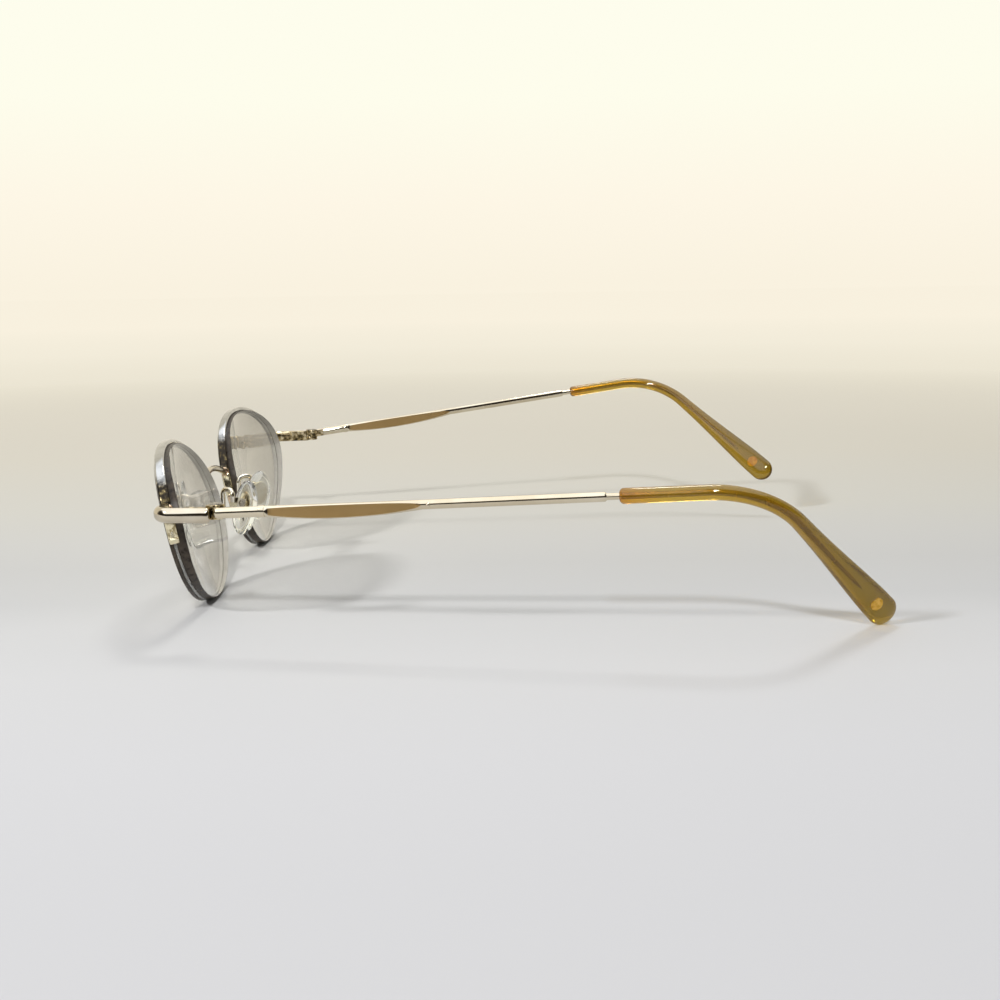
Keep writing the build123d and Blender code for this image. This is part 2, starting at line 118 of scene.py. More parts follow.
def tube_faces(rings, count, closed=False, caps=True):
    """Quads between rings of count points each, and a face on each open end."""
    faces = []
    spans = rings if closed else rings - 1
    for i in range(spans):
        a, b = i * count, (i + 1) % rings * count
        for j in range(count):
            k = (j + 1) % count
            faces.append((a + j, a + k, b + k, b + j))
    if caps and not closed:
        faces.append(tuple(range(count)))
        faces.append(tuple(range(rings * count - 1, (rings - 1) * count - 1, -1)))
    return faces


def close_ring(points, faces, row, count, middle):
    """Adds a middle point, and triangles to it from one ring of count points."""
    top, a = len(points), row * count
    points.append(middle)
    faces += [(a + j, a + (j + 1) % count, top) for j in range(count)]


def mesh_object(name, points, faces, materials, body, mirrored=False, crease=35.0, indices=None):
    """A smooth mesh piece that rides on a body, with edges sharper than crease kept crisp."""
    if mirrored:
        points = [Vector((-p[0], p[1], p[2])) for p in points]
    mesh = bpy.data.meshes.new(name)
    mesh.from_pydata([tuple(p) for p in points], [], faces)
    for material in materials:
        mesh.materials.append(material)
    if indices:
        mesh.polygons.foreach_set("material_index", indices)
    work = bmesh.new()
    work.from_mesh(mesh)
    bmesh.ops.remove_doubles(work, verts=work.verts, dist=MERGE)
    bmesh.ops.recalc_face_normals(work, faces=work.faces)
    for face in work.faces:
        face.smooth = True
    for line in work.edges:
        line.smooth = len(line.link_faces) == 2 and line.calc_face_angle(0) < radians(crease)
    work.to_mesh(mesh)
    work.free()
    made = bpy.data.objects.new(name, mesh)
    bpy.context.scene.collection.objects.link(made)
    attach(made, body)
    return made


def oval(thick, high, power, count=36):
    """Closed section from an ellipse (power 2) to a rectangle (a high power), as (across, up) pairs."""
    pairs = []
    for step in range(count):
        c, s = cos(2 * pi * step / count), sin(2 * pi * step / count)
        across, rise = abs(c) ** (2 / power), abs(s) ** (2 / power)
        pairs.append((thick / 2 * (across if c > 0 else -across), high / 2 * (rise if s > 0 else -rise)))
    return pairs


def bent_line(points, radius, steps=12):
    """Straight runs joined by arcs, as (place, way) pairs."""
    line = [(points[0], (points[1] - points[0]).normalized())]
    for a, b, c in zip(points, points[1:], points[2:]):
        into, out = (b - a).normalized(), (c - b).normalized()
        turn = into.angle(out)
        reach = radius * sin(turn / 2) / cos(turn / 2)
        side = (out - into * out.dot(into)).normalized()
        for step in range(steps + 1):
            angle = turn * step / steps
            place = b - into * reach + into * radius * sin(angle) + side * radius * (1 - cos(angle))
            line.append((place, into * cos(angle) + side * sin(angle)))
    line.append((points[-1], (points[-1] - points[-2]).normalized()))
    return line


def joined(parts):
    """Several (points, faces, look) lists as one mesh: its points, faces and the look of each face."""
    points, faces, looks = [], [], []
    for more_points, more_faces, look in parts:
        start = len(points)
        points += more_points
        faces += [tuple(start + i for i in face) for face in more_faces]
        looks += look if isinstance(look, list) else [look] * len(more_faces)
    return points, faces, looks


def blob(centre, across, up, out, sizes, rings=9, sides=16):
    """Rounded lump with its own half sizes along three directions: its points and faces."""
    points = []
    for i in range(rings + 1):
        lift = pi * i / rings
        for j in range(sides):
            turn = 2 * pi * j / sides
            shape = (sin(lift) * cos(turn), sin(lift) * sin(turn), cos(lift))
            parts = zip((across, up, out), sizes, shape)
            way = sum((axis * size * part for axis, size, part in parts), Vector())
            points.append(placed(centre + way))
    return points, tube_faces(rings + 1, sides, caps=False)


# ---------- materials ----------


def build(name, base, **values):
    """A Principled material, its node tree and its shader."""
    material = bpy.data.materials.new(name)
    material.use_nodes = True
    tree = material.node_tree
    shader = tree.nodes["Principled BSDF"]
    shader.inputs["Base Color"].default_value = (*base, 1)
    for key, value in values.items():
        shader.inputs[key.replace("_", " ")].default_value = value
    return material, tree, shader


def noise(tree, scale, detail=4.0, rough=0.55, stretch=None):
    """Noise over the piece's own place, in cells per metre, optionally stretched along an axis."""
    where = tree.nodes.new("ShaderNodeTexCoord").outputs["Object"]
    if stretch:
        mapping = tree.nodes.new("ShaderNodeMapping")
        mapping.inputs["Scale"].default_value = stretch
        tree.links.new(where, mapping.inputs["Vector"])
        where = mapping.outputs["Vector"]
    node = tree.nodes.new("ShaderNodeTexNoise")
    node.inputs["Scale"].default_value = scale
    node.inputs["Detail"].default_value = detail
    node.inputs["Roughness"].default_value = rough
    tree.links.new(where, node.inputs["Vector"])
    return node.outputs["Fac"]


def ramp(tree, value, stops):
    """Colour ramp of (place, colour) stops."""
    node = tree.nodes.new("ShaderNodeValToRGB")
    elements = node.color_ramp.elements
    while len(elements) < len(stops):
        elements.new(0.5)
    for element, (place, colour) in zip(elements, stops):
        element.position = place
        element.color = (*colour, 1)
    tree.links.new(value, node.inputs["Fac"])
    return node.outputs["Color"]


def span(tree, value, low, high, to_low, to_high):
    """Maps a value from one range to another, clamped."""
    node = tree.nodes.new("ShaderNodeMapRange")
    for key, number in (("From Min", low), ("From Max", high), ("To Min", to_low), ("To Max", to_high)):
        node.inputs[key].default_value = number
    tree.links.new(value, node.inputs["Value"])
    return node.outputs["Result"]


def sums(tree, operation, *values):
    """Math node on sockets or numbers."""
    node = tree.nodes.new("ShaderNodeMath")
    node.operation = operation
    for socket, value in zip(node.inputs, values):
        if isinstance(value, (int, float)):
            socket.default_value = value
        else:
            tree.links.new(value, socket)
    return node.outputs["Value"]


def blend_colours(tree, share, a, b):
    """Mix of two colours, each a socket or a plain colour."""
    node = tree.nodes.new("ShaderNodeMix")
    node.data_type = "RGBA"
    tree.links.new(share, node.inputs["Factor"])
    for key, value in (("A", a), ("B", b)):
        if isinstance(value, tuple):
            node.inputs[key].default_value = (*value, 1)
        else:
            tree.links.new(value, node.inputs[key])
    return node.outputs["Result"]


def bump(tree, shader, height, distance, strength=1.0):
    node = tree.nodes.new("ShaderNodeBump")
    node.inputs["Distance"].default_value = distance
    node.inputs["Strength"].default_value = strength
    tree.links.new(height, node.inputs["Height"])
    tree.links.new(node.outputs["Normal"], shader.inputs["Normal"])


def object_place(tree):
    """The point's own place on its piece, as X, Y and Z sockets."""
    split = tree.nodes.new("ShaderNodeSeparateXYZ")
    tree.links.new(tree.nodes.new("ShaderNodeTexCoord").outputs["Object"], split.inputs["Vector"])
    return split.outputs


def metal(name, stops, rough_low, rough_high, scale=900.0, bump_depth=4e-6):
    """Plated metal: tone drifts over a few millimetres, and fine wear moves the gloss."""
    material, tree, shader = build(name, stops[0][1], Metallic=1.0)
    drift = noise(tree, scale * 0.35, 3.0, 0.5)
    tree.links.new(ramp(tree, drift, stops), shader.inputs["Base Color"])
    wear = noise(tree, scale * 2.2, 6.0, 0.6)
    tree.links.new(span(tree, wear, 0.35, 0.7, rough_low, rough_high), shader.inputs["Roughness"])
    bump(tree, shader, noise(tree, scale, 5.0, 0.6), bump_depth)
    return material


# the rim: bright plating over the top; below a wavy height near 30 mm, painted dark reflection with gold
# specks; pale gold at its feet
HEIGHT_WAVES = 0.004
PLATED_ABOVE, GILT_BELOW = (0.0295, 0.0315), (0.0240, 0.0225)
rim_metal, tree, shader = build("rim_metal", (0.66, 0.68, 0.70), Metallic=1.0)
mottle = noise(tree, 900.0, 5.0, 0.65)
wavy_height = sums(tree, "MULTIPLY_ADD", mottle, HEIGHT_WAVES, object_place(tree)["Z"])
specks = ramp(tree, mottle, [
    (0.48, (0.03, 0.025, 0.02)), (0.60, (0.13, 0.10, 0.05)), (0.70, (0.60, 0.48, 0.24)),
])
plated = ramp(tree, noise(tree, 300.0, 3.0, 0.5), [(0.35, (0.42, 0.42, 0.41)), (0.65, (0.54, 0.54, 0.53))])
# painted dark reflection: below PLATED_ABOVE the dark speckled tone takes the place of the plating's silver
tone = blend_colours(tree, span(tree, wavy_height, *PLATED_ABOVE, 0.0, 1.0), specks, plated)
gilt = ramp(tree, mottle, [(0.40, (0.30, 0.24, 0.12)), (0.52, (0.80, 0.72, 0.50))])
tree.links.new(blend_colours(tree, span(tree, wavy_height, *GILT_BELOW, 0.0, 1.0), tone, gilt),
               shader.inputs["Base Color"])
tree.links.new(span(tree, mottle, 0.35, 0.7, 0.05, 0.18), shader.inputs["Roughness"])
bump(tree, shader, mottle, 2e-6)

# the other metals: their tones, their roughness from and to, the size of the wear and its depth
end_metal = metal("end_metal", [
    (0.35, (0.57, 0.50, 0.38)), (0.65, (0.66, 0.59, 0.47)),
], 0.03, 0.10, 500.0, 1e-6)
bridge_metal = metal("bridge_metal", [
    (0.35, (0.62, 0.55, 0.44)), (0.65, (0.74, 0.68, 0.56)),
], 0.08, 0.2, 700.0, 2e-6)
# hinge metal: a random mottle from near-black to bright gold; the gold is its own tone, the near-black is
# painted dark reflection
hinge_metal = metal("hinge_metal", [
    (0.36, (0.05, 0.04, 0.02)), (0.50, (0.36, 0.27, 0.13)), (0.64, (0.85, 0.74, 0.50)),
], 0.12, 0.35, 2600.0, 8e-6)
arm_metal = metal("arm_metal", [(0.35, (0.66, 0.60, 0.48)), (0.65, (0.82, 0.78, 0.68))], 0.04, 0.12)
screw_metal = metal("screw_metal", [
    (0.35, (0.30, 0.27, 0.22)), (0.65, (0.52, 0.48, 0.42)),
], 0.2, 0.4, 2500.0)
dot_metal = metal("dot_metal", [
    (0.35, (0.58, 0.31, 0.03)), (0.65, (0.84, 0.54, 0.13)),
], 0.3, 0.45, 3500.0)
solder_metal = metal("solder_metal", [
    (0.4, (0.42, 0.28, 0.18)), (0.6, (0.80, 0.62, 0.44)),
], 0.12, 0.34, 2500.0)
temple_metal = metal("temple_metal", [
    (0.35, (0.64, 0.55, 0.40)), (0.65, (0.74, 0.66, 0.51)),
], 0.04, 0.12, 400.0, 1e-6)
leaf_metal = metal("leaf_metal", [
    (0.35, (0.50, 0.325, 0.13)), (0.65, (0.54, 0.355, 0.15)),
], 0.28, 0.32, 200.0, 1e-7)
core_metal = metal("core_metal", [
    (0.35, (0.34, 0.24, 0.08)), (0.65, (0.52, 0.38, 0.15)),
], 0.16, 0.3, 300.0, 2e-7)


def clear(name, base, roughness, ior, passes):
    """Clear stuff that bends what is behind it, and lets the lamps through with a tint for its shadow."""
    material, tree, shader = build(name, base, Roughness=roughness, IOR=ior, Transmission_Weight=1.0)
    see = tree.nodes.new("ShaderNodeBsdfTransparent")
    see.inputs["Color"].default_value = (*passes, 1)
    path = tree.nodes.new("ShaderNodeLightPath")
    mix = tree.nodes.new("ShaderNodeMixShader")
    tree.links.new(path.outputs["Is Shadow Ray"], mix.inputs["Fac"])
    tree.links.new(shader.outputs["BSDF"], mix.inputs[1])
    tree.links.new(see.outputs["BSDF"], mix.inputs[2])
    tree.links.new(mix.outputs["Shader"], tree.nodes["Material Output"].inputs["Surface"])
    return material, tree, shader


lens_glass, tree, shader = clear("lens_glass", (0.57, 0.555, 0.53), 0.0, 1.12, (0.56, 0.555, 0.54))
shader.inputs["Coat Weight"].default_value = 1.0
shader.inputs["Coat IOR"].default_value = 1.5
shader.inputs["Coat Roughness"].default_value = 0.0
smear = noise(tree, 120.0, 3.0, 0.5)
tree.links.new(span(tree, smear, 0.45, 0.8, 0.0, 0.012), shader.inputs["Roughness"])

# the inner side of the ground edge, as it is seen through the glass
lens_inside, tree, shader = build("lens_inside", (0.45, 0.44, 0.42), Roughness=0.6)
tree.links.new(ramp(tree, noise(tree, 500.0), [(0.3, (0.40, 0.39, 0.37)), (0.7, (0.50, 0.49, 0.47))]),
               shader.inputs["Base Color"])

# the ground edge's near-black brown is painted dark reflection: the dark room seen in the edge through the
# glass, put on an opaque skin
lens_edge, tree, shader = build("lens_edge", (0.05, 0.04, 0.03), Roughness=0.3, Specular_IOR_Level=0.22)
tone = noise(tree, 700.0, 4.0, 0.6)
tree.links.new(ramp(tree, tone, [(0.3, (0.018, 0.013, 0.009)), (0.7, (0.075, 0.058, 0.042))]),
               shader.inputs["Base Color"])
tree.links.new(span(tree, tone, 0.3, 0.7, 0.22, 0.45), shader.inputs["Roughness"])

nylon, tree, shader = clear("nylon", (0.93, 0.93, 0.90), 0.1, 1.45, (0.8, 0.8, 0.78))
shader.inputs["Transmission Weight"].default_value = 0.85
tree.links.new(span(tree, noise(tree, 900.0), 0.3, 0.7, 0.05, 0.2), shader.inputs["Roughness"])

pad_clear, tree, shader = clear("pad_clear", (0.95, 0.95, 0.92), 0.01, 1.5, (0.85, 0.85, 0.83))
tree.links.new(span(tree, noise(tree, 500.0), 0.35, 0.75, 0.0, 0.05), shader.inputs["Roughness"])
bump(tree, shader, noise(tree, 350.0, 3.0), 6e-5)

liner, tree, shader = build("liner", (0.62, 0.61, 0.56), Roughness=0.4)
tree.links.new(ramp(tree, noise(tree, 900.0), [(0.3, (0.55, 0.54, 0.49)), (0.7, (0.70, 0.69, 0.64))]),
               shader.inputs["Base Color"])

# temple tip: clear olive plastic, amber where it starts, with faint streaks along it
tip, tree, shader = clear("tip", (0.5, 0.37, 0.09), 0.04, 1.49, (0.45, 0.36, 0.14))
shader.inputs["Transmission Weight"].default_value = 0.8
TIP_FROM_Y, TIP_TO_Y = 0.016, 0.07
along = span(tree, object_place(tree)["Y"], TIP_FROM_Y, TIP_TO_Y, 0.0, 1.0)
streak = noise(tree, 160.0, 2.0, 0.5, (1, 0.3, 1))
tree.links.new(ramp(tree, sums(tree, "MULTIPLY_ADD", streak, 0.10, along), [
    (0.05, (0.50, 0.20, 0.01)), (0.13, (0.53, 0.29, 0.02)), (0.22, (0.50, 0.33, 0.035)),
    (0.6, (0.37, 0.225, 0.018)), (1.0, (0.30, 0.195, 0.018)),
]), shader.inputs["Base Color"])
tree.links.new(span(tree, streak, 0.3, 0.7, 0.02, 0.06), shader.inputs["Roughness"])

# ---------- the CAD nodes that stay, in their finished materials ----------

finishes = {
    "endpiece": end_metal, "front_hinge": hinge_metal, "hinge_screw": screw_metal, "pad_core": arm_metal,
    "nose_pad": pad_clear, "pad_box": arm_metal, "pad_screw": screw_metal, "pad_arm": arm_metal,
    "rim_liner": liner, "temple": temple_metal, "temple_hinge": hinge_metal, "tip_dot": dot_metal,
    "bridge": bridge_metal, "rim": rim_metal, "lens": lens_glass, "nylon_cord": nylon, "temple_tip": tip,
}
# machined pieces get a small round on their sharp edges
EASED = ("front_hinge", "hinge_screw", "pad_box", "pad_screw", "temple_hinge")
EASED_BY, EASED_OVER, WELDED_UNDER = 6e-5, radians(40), 1e-6
for name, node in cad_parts.items():
    kind = name.replace("left_", "").replace("right_", "")
    node.data.materials[0] = finishes[kind]
    if kind in EASED:
        weld = node.modifiers.new("weld", "WELD")
        weld.merge_threshold = WELDED_UNDER
        ease = node.modifiers.new("ease", "BEVEL")
        ease.width = EASED_BY
        ease.segments = 2
        ease.limit_method = "ANGLE"
        ease.angle_limit = EASED_OVER
        ease.harden_normals = True

# ---------- lenses ----------

LENS_STEPS = 180
# rings on each face, as shares of the outline
FACE_SHARES = (0.25, 0.5, 0.7, 0.85, 0.94)
# the glass is sunk by this much under the ground edge, which is a piece of its own: an opaque skin in painted
# dark reflection
EDGE_SKIN = 0.02
GROOVE_ROUND, GROOVE_LIP = 0.12, 0.05
# the bevels at the front and the back of the edge, as (grow, depth behind the face)
FRONT_BEVEL = ((-0.16, 0), (-0.05, 0.03), (0, 0.14))
BACK_BEVEL = ((0, 0.3), (-0.06, 0.1), (-0.22, 0))
turns = [360 * step / LENS_STEPS for step in range(LENS_STEPS)]


def edge_rows(sunk):
    """Rows over the ground edge, its two bevels and the groove, sunk by a little below its true place."""
    rows = []
    land, far = GROOVE_LAND, GROOVE_LAND + GROOVE_WIDTH
    for grow, depth in FRONT_BEVEL + (
        (0, land - GROOVE_LIP), (-GROOVE_LIP, land), (-GROOVE_DEPTH + GROOVE_ROUND, land),
        (-GROOVE_DEPTH, land + GROOVE_ROUND), (-GROOVE_DEPTH, far - GROOVE_ROUND),
        (-GROOVE_DEPTH + GROOVE_ROUND, far), (-GROOVE_LIP, far), (0, far + GROOVE_LIP),
    ):
        rows.append([edge_at(turn, grow - sunk, depth) for turn in turns])
    for grow, lift in BACK_BEVEL:
        row = []
        for turn in turns:
            u, v = edge(turn, grow - sunk)
            row.append(lens_place(u, v, back_sag(u, v) - lift))
        rows.append(row)
    return rows


def lens_rows():
    """Rows round the lens from the middle of its front, over the grooved edge, to the middle of its back."""
    rows = []
    for share in FACE_SHARES:
        row = []
        for turn in turns:
            u, v = (share * part for part in edge(turn, 0))
            row.append(lens_place(u, v, front_sag(u, v)))
        rows.append(row)
    first = len(rows)
    rows += edge_rows(EDGE_SKIN)
    last = len(rows)
    for share in reversed(FACE_SHARES):
        row = []
        for turn in turns:
            u, v = (share * part for part in edge(turn, 0))
            row.append(lens_place(u, v, back_sag(u, v)))
        rows.append(row)
    return rows, first, last


rows, first, last = lens_rows()
lens_points = [point for row in rows for point in row]
lens_faces = tube_faces(len(rows), LENS_STEPS, caps=False)
lens_looks = []
for i in range(len(rows) - 1):
    lens_looks += [1 if first <= i < last - 1 else 0] * LENS_STEPS
for depth, row in ((0, 0), (CENTRE_THICKNESS, len(rows) - 1)):
    close_ring(lens_points, lens_faces, row, LENS_STEPS, lens_place(0, 0, depth))
    lens_looks += [0] * LENS_STEPS

skin = edge_rows(0)
skin_points = [point for row in skin for point in row]
skin_faces = tube_faces(len(skin), LENS_STEPS, caps=False)

# ---------- rims and the nylon that holds each lens ----------


RIM_BEVEL, CROWN_OUT, CROWN_SIDE, CROWN_STEPS = 0.1, 0.5, 0.42, 6
# degrees: the rim's sections lie close together up to here from each end, and then one step apart
RIM_END_SPAN, RIM_STEP = 6, 1.5
# degrees past the foot where its height starts to rise, and the width of the rise
FOOT_SOFT, FOOT_RISE = 0.5, 0.9
# the rim's end faces are drawn in a little, as shares of its height and depth
END_GROW_SHARE, END_DEPTH_SHARE = 0.84, 0.93


def rim_profile(outer):
    """Section of the rim band as (grow, depth): crowned outside, a channel inside."""
    near, far = GROOVE_CENTRE - RIM_DEPTH / 2, GROOVE_CENTRE + RIM_DEPTH / 2
    crown = []
    for step in range(CROWN_STEPS + 1):
        angle = radians(90 / CROWN_STEPS * step)
        crown.append((outer - CROWN_OUT + CROWN_OUT * sin(angle), CROWN_SIDE - CROWN_SIDE * cos(angle)))
    pairs = [(RIM_GAP, near + RIM_BEVEL), (RIM_GAP + RIM_BEVEL, near)]
    pairs += [(grow, near + depth) for grow, depth in crown]
    pairs.append((outer, GROOVE_CENTRE))
    pairs += [(grow, far - depth) for grow, depth in reversed(crown)]
    pairs += [(RIM_GAP + RIM_BEVEL, far), (RIM_GAP, far - RIM_BEVEL)]
    deep, low, high = RIM_GAP + CHANNEL_DEPTH, GROOVE_CENTRE - CHANNEL_HALF, GROOVE_CENTRE + CHANNEL_HALF
    return pairs + [(RIM_GAP, high), (deep, high), (deep, low), (RIM_GAP, low)]


def rim_rings():
    """Sections of the rim from end to end, closer together at its two feet."""
    rings = []
    outer = RIM_GAP + RIM_THICKNESS
    total = RIM_TO - RIM_FROM
    near_end = [0, 0.25] + [1 + 0.5 * step for step in range(9)]
    steps = int((total - 2 * RIM_END_SPAN) / RIM_STEP)
    between = [RIM_END_SPAN + RIM_STEP * step for step in range(steps + 1)]
    for at in near_end + between + [total - station for station in reversed(near_end)]:
        from_end = min(at, total - at)
        proud = FOOT_PROUD * min(1, max(0, (FOOT_TURN + FOOT_SOFT - from_end) / FOOT_RISE))
        shape = rim_profile(outer + proud)
        if from_end == 0:
            half_way = RIM_GAP + (outer + proud - RIM_GAP) / 2
            shape = [(
                half_way + (grow - half_way) * END_GROW_SHARE,
                GROOVE_CENTRE + (depth - GROOVE_CENTRE) * END_DEPTH_SHARE,
            ) for grow, depth in shape]
        rings.append([edge_at(RIM_FROM + at, grow, depth) for grow, depth in shape])
    return rings


rings = rim_rings()
rim_points = [point for ring in rings for point in ring]
rim_faces = tube_faces(len(rings), len(rings[0]))


def tube(points, radius, sides=12, closed=False):
    """Round wire along points: its points and faces. Radius is one number or one for each point."""
    rings = []
    side = None
    for i, point in enumerate(points):
        way = (points[min(i + 1, len(points) - 1)] - points[max(i - 1, 0)]).normalized()
        if side is None:
            side = way.orthogonal().normalized()
        side = (side - way * side.dot(way)).normalized()
        other = way.cross(side)
        size = (radius if isinstance(radius, float) else radius[i]) * MM
        angles = [2 * pi * k / sides for k in range(sides)]
        rings.append([point + (side * cos(angle) + other * sin(angle)) * size for angle in angles])
    return [point for ring in rings for point in ring], tube_faces(len(rings), sides, closed)


# the line lies just over the groove's floor, and at each end goes out and back through two holes in the rim
CORD_OVER_FLOOR, CORD_OVER_RIM, SWEEP_STEPS = 0.05, 0.1, 120
cord_grow = -GROOVE_DEPTH + CORD_RADIUS + CORD_OVER_FLOOR
first_hole, second_hole = CORD_HOLE_TURNS
outside = RIM_GAP + RIM_THICKNESS + CORD_OVER_RIM
loop = [
    (second_hole + 0.3, 0.3), (second_hole, 0.6), (second_hole - 0.1, outside - 0.1),
    (second_hole - 0.6, outside + 0.1), ((first_hole + second_hole) / 2, outside + 0.16),
    (first_hole + 0.6, outside + 0.1), (first_hole + 0.1, outside - 0.1), (first_hole - 0.1, 0.6),
    (first_hole - 0.6, 0.25), (first_hole - 2, 0.0), (first_hole - 4, cord_grow),
]
cord_line = [(RIM_TO - at, grow) for at, grow in loop]
sweep_from, sweep_to = RIM_TO + 2, 360 + RIM_FROM - 2
for step in range(SWEEP_STEPS + 1):
    cord_line.append((sweep_from + (sweep_to - sweep_from) * step / SWEEP_STEPS, cord_grow))
cord_line += [(360 + RIM_FROM + at, grow) for at, grow in reversed(loop)]


def eased_line(pairs, rounds=2):
    """The same line with its corners rounded, its ends kept."""
    for _ in range(rounds):
        cut = [pairs[0]]
        for (a, b), (c, d) in zip(pairs, pairs[1:]):
            cut.append((0.75 * a + 0.25 * c, 0.75 * b + 0.25 * d))
            cut.append((0.25 * a + 0.75 * c, 0.25 * b + 0.75 * d))
        pairs = cut + [pairs[-1]]
    return pairs


head, tail = len(loop), len(cord_line) - len(loop)
cord_line = eased_line(cord_line[:head + 1]) + cord_line[head + 1:tail - 1] + eased_line(cord_line[tail - 1:])
cord_places = [edge_at(turn, grow, GROOVE_CENTRE) for turn, grow in cord_line]
cord_points, cord_faces = tube(cord_places, CORD_RADIUS)

# ---------- nose pads ----------

PAD_CENTRE = Vector((8.4, 9.4, 15.3))
PAD_SPLAY, PAD_SLOPE = radians(35.0), radians(15.0)
PAD_LENGTH, PAD_WIDTH = 12.2, 6.2
pad_z = Vector((-cos(PAD_SPLAY) * cos(PAD_SLOPE), sin(PAD_SPLAY) * cos(PAD_SLOPE), -sin(PAD_SLOPE)))
pad_x = Vector((-sin(PAD_SPLAY), -cos(PAD_SPLAY), 0))
pad_y = pad_z.cross(pad_x)
PAD_STEPS, PAD_TAPER, PAD_FACE, PAD_BACK = 72, 0.06, 1.25, -0.98
# share of the outline and height over the pad's middle, from the middle of the face to the middle of the back
pad_rows = (
    (0.25, PAD_FACE), (0.5, 1.22), (0.68, 1.12), (0.82, 0.92), (0.92, 0.62), (0.98, 0.25), (1.0, -0.15),
    (1.0, -0.55), (0.985, -0.9), (0.95, -1.13), (0.9, -1.24), (0.85, -1.25), (0.8, -1.2), (0.76, -1.08),
    (0.72, -1.0), (0.5, PAD_BACK), (0.25, PAD_BACK),
)
pad_points, pad_faces = [], tube_faces(len(pad_rows), PAD_STEPS, caps=False)
for share, height in pad_rows:
    for step in range(PAD_STEPS):
        angle = 2 * pi * step / PAD_STEPS
        across = PAD_WIDTH / 2 * cos(angle) * share * (1 - PAD_TAPER * sin(angle))
        length = PAD_LENGTH / 2 * sin(angle) * share
        pad_points.append(placed(PAD_CENTRE + pad_x * across + pad_y * length + pad_z * height))
for row, height in ((0, PAD_FACE), (len(pad_rows) - 1, PAD_BACK)):
    close_ring(pad_points, pad_faces, row, PAD_STEPS, placed(PAD_CENTRE + pad_z * height))

LENS_CREASE = 30.0
for side in ("left", "right"):
    flip = side == "right"
    lens = mesh_object(f"{side}_lens_cut", lens_points, lens_faces, [lens_glass, lens_inside],
                       "front", flip, LENS_CREASE, lens_looks)
    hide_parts(f"{side}_lens")
    # the ground edge: an opaque skin in painted dark reflection
    mesh_object(f"{side}_ground_edge", skin_points, skin_faces, [lens_edge],
                "front", flip, LENS_CREASE)
    band = mesh_object(f"{side}_rim_band", rim_points, rim_faces, [rim_metal], "front", flip)
    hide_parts(f"{side}_rim")
    cord = mesh_object(f"{side}_nylon_line", cord_points, cord_faces, [nylon], "front", flip)
    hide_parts(f"{side}_nylon_cord")
    pad = mesh_object(f"{side}_pad_moulding", pad_points, pad_faces, [pad_clear],
                      f"{side}_pad", flip)
    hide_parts(f"{side}_nose_pad")

# ---------- endpieces and the solder at the joints ----------

# power of the sections of endpieces and bars: a little squarer than an ellipse
BAR_POWER = 2.1
ENDPIECE_TURN, ENDPIECE_CORNER_Y, ENDPIECE_BEND = 9.0, 3.6, 2.7
ENDPIECE_CORNER_THICK, ENDPIECE_HIGH, ENDPIECE_DROP, HINGE_GAP = 2.3, 2.85, 0.45, 1.2
joint = edge_drawn(ENDPIECE_TURN, RIM_THICKNESS / 2, GROOVE_CENTRE)
back_way = Vector((sin(SPLAY), cos(SPLAY), 0))
bend_x = HINGE.x - (HINGE.y - ENDPIECE_CORNER_Y) * sin(SPLAY) / cos(SPLAY)
end_z = HINGE.z - ENDPIECE_DROP
hinge_end = HINGE - back_way * HINGE_GAP / 2
end_line = bent_line([
    Vector((joint.x, joint.y, end_z)), Vector((bend_x, ENDPIECE_CORNER_Y, end_z)),
    Vector((hinge_end.x, hinge_end.y, end_z)),
], ENDPIECE_BEND)
last_place, last_way = end_line.pop()
end_line = [(place, way, 1.0, ENDPIECE_CORNER_THICK) for place, way in end_line]
# from the corner to the rounded end at the hinge: distance from the end, share of the section, thickness
for back, size, thick in (
    (5.0, 1.0, 1.95), (3.0, 1.0, 1.62), (1.5, 1.0, 1.5), (0.7, 1.0, 1.5), (0.45, 0.985, 1.5),
    (0.25, 0.94, 1.5), (0.1, 0.86, 1.5), (0.0, 0.7, 1.5),
):
    end_line.append((last_place - last_way * back, last_way, size, thick))
# the sides that face the head take the hinge metal: painted dark reflection on that side
END_SIDES, END_INNER_FROM, END_INNER_TO = 36, 0.28, 0.72
end_points, end_looks = [], []
for place, way, size, thick in end_line:
    across = Vector((way.y, -way.x, 0))
    for x, z in oval(thick * size, ENDPIECE_HIGH * size, BAR_POWER, END_SIDES):
        end_points.append(placed(place + across * x + Vector((0, 0, z))))
    end_looks += [1 if END_INNER_FROM < k / END_SIDES < END_INNER_TO else 0 for k in range(END_SIDES)]
end_looks = end_looks[END_SIDES:] + [0, 0]
end_faces = tube_faces(len(end_line), END_SIDES)

# solder: two lumps behind the endpiece's joint, and one each under the bridge and the pad arm
BRIDGE_TURN, ARM_TURN, ARM_TURN_SPAN = 155.5, 176.0, 4.0
bridge_joint = edge_drawn(BRIDGE_TURN, RIM_THICKNESS + 0.1, GROOVE_CENTRE)
arm_joint = edge_drawn(ARM_TURN, RIM_THICKNESS + 0.1, GROOVE_CENTRE)
above, below, on_rim, on_lens = (edge_drawn(ARM_TURN + turn, grow, GROOVE_CENTRE) for turn, grow in (
    (-ARM_TURN_SPAN, RIM_THICKNESS), (ARM_TURN_SPAN, RIM_THICKNESS), (0, RIM_THICKNESS), (0, 0)))
rim_way, rim_out = (above - below).normalized(), (on_rim - on_lens).normalized()
rim_axes = (rim_way, rim_way.cross(rim_out), rim_out)
main_axes = (Vector((1, 0, 0)), Vector((0, 1, 0)), Vector((0, 0, 1)))
solder_points, solder_faces, _ = joined([(*blob(centre, *axes, sizes), 0) for centre, axes, sizes in (
    (Vector((joint.x + 0.5, joint.y + 0.75, end_z + 0.3)), main_axes, (0.75, 0.6, 0.8)),
    (Vector((joint.x + 2.3, joint.y + 1.0, end_z + 0.2)), main_axes, (0.4, 0.35, 0.4)),
    (bridge_joint, rim_axes, (1.25, 0.95, 0.5)),
    (arm_joint, rim_axes, (1.7, 0.9, 0.42)),
)])

